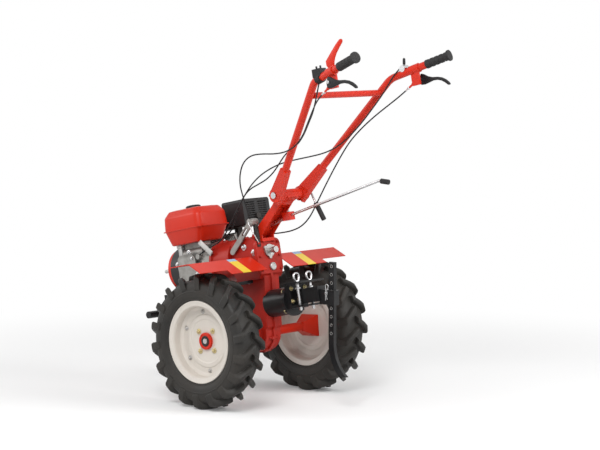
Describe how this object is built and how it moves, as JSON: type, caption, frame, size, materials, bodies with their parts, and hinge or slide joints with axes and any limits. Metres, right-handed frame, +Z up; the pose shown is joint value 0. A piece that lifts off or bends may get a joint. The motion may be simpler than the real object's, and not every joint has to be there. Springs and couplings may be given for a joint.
{
  "type": "motor cultivator",
  "caption": "Walk-behind motor cultivator: small petrol engine and gear case over two lugged tyres, with adjustable handlebars, fenders, rear hitch with coulter, and a front parking stand.",
  "frame": {"origin": "on the ground, below the middle of the machine's overall box", "axes": "+X forward, +Y to the left, +Z up, standing nose down on its front stand"},
  "size_m": [1.4003, 0.922, 1.5865],
  "materials": {
    "red_paint": "glossy",
    "cast_red": "satin",
    "bright_aluminium": "cast satin",
    "dark_engine": "satin",
    "black_steel": "satin",
    "tyre_rubber": "matt",
    "cream_rim": "glossy",
    "bright_steel": "polished",
    "plain_steel": "machined",
    "grip_rubber": "matt",
    "black_plastic": "moulded",
    "cable_sheath": "satin"
  },
  "bodies": {
    "chassis": {"air_filter": "black_plastic", "bell_housing": "cast_red", "cable_clutch": "cable_sheath", "cable_reverse": "cable_sheath", "cable_switch": "cable_sheath", "cable_throttle": "cable_sheath", "carburettor": "bright_aluminium", "clutch_adaptor": "bright_aluminium", "clutch_arm": "bright_aluminium", "coulter_socket": "black_steel", "crankcase": "bright_aluminium", "cylinder": "bright_aluminium", "drawbar": "black_steel", "engine_frame": "black_steel", "fan_housing": "dark_engine", "fender_left": "red_paint", "fender_right": "red_paint", "fuel_tank": "red_paint", "gear_case": "cast_red", "gear_lever": "bright_steel", "handle_post": "red_paint", "hitch_bracket": "black_steel", "hitch_pins": "bright_steel", "lever_grips": "grip_rubber", "oil_caps": "plain_steel", "rear_casting": "black_steel", "recoil_cover": "red_paint", "silencer": "plain_steel", "silencer_guard": "dark_engine", "tank_cap": "black_plastic", "turn_lever": "bright_steel"},
    "handlebar": {"handle_left": "red_paint", "handle_right": "red_paint", "pivot_bolt": "bright_steel", "crossbar": "red_paint", "grips": "grip_rubber", "lever_brackets": "red_paint", "hand_levers": "black_plastic", "front_hand_lever": "red_paint", "switch_box": "black_plastic", "throttle_lever": "bright_steel"},
    "wheel_left": {"tyre_left": "tyre_rubber", "rim_left": "cream_rim", "hub_left": "red_paint", "axle_left": "plain_steel"},
    "wheel_right": {"tyre_right": "tyre_rubber", "rim_right": "cream_rim", "hub_right": "red_paint", "axle_right": "plain_steel"},
    "front_stand": {"front_stand": "black_steel"},
    "coulter": {"coulter": "black_steel"}
  },
  "joints": [
    {"name": "wheel_left_spin", "type": "hinge", "parent": "chassis", "child": "wheel_left", "pos_m": [0.1187, 0.3305, 0.29], "axis": [0, 1, 0], "continuous": true},
    {"name": "wheel_right_spin", "type": "hinge", "parent": "chassis", "child": "wheel_right", "pos_m": [0.1187, -0.3305, 0.29], "axis": [0, 1, 0], "continuous": true},
    {"name": "handlebar_tilt", "type": "hinge", "parent": "chassis", "child": "handlebar", "pos_m": [-0.05505, 0, 0.91069], "axis": [0, 1, 0], "range_deg": [-12, 16], "deforming": ["cable_clutch", "cable_reverse", "cable_switch", "cable_throttle"]},
    {"name": "front_stand_fold", "type": "hinge", "parent": "chassis", "child": "front_stand", "pos_m": [0.6737, 0, 0.33], "axis": [0, -1, 0], "range_deg": [0, 105]},
    {"name": "coulter_height", "type": "slide", "parent": "chassis", "child": "coulter", "axis": [0, 0, 1], "range_m": [-0.108, 0.108]}
  ]
}
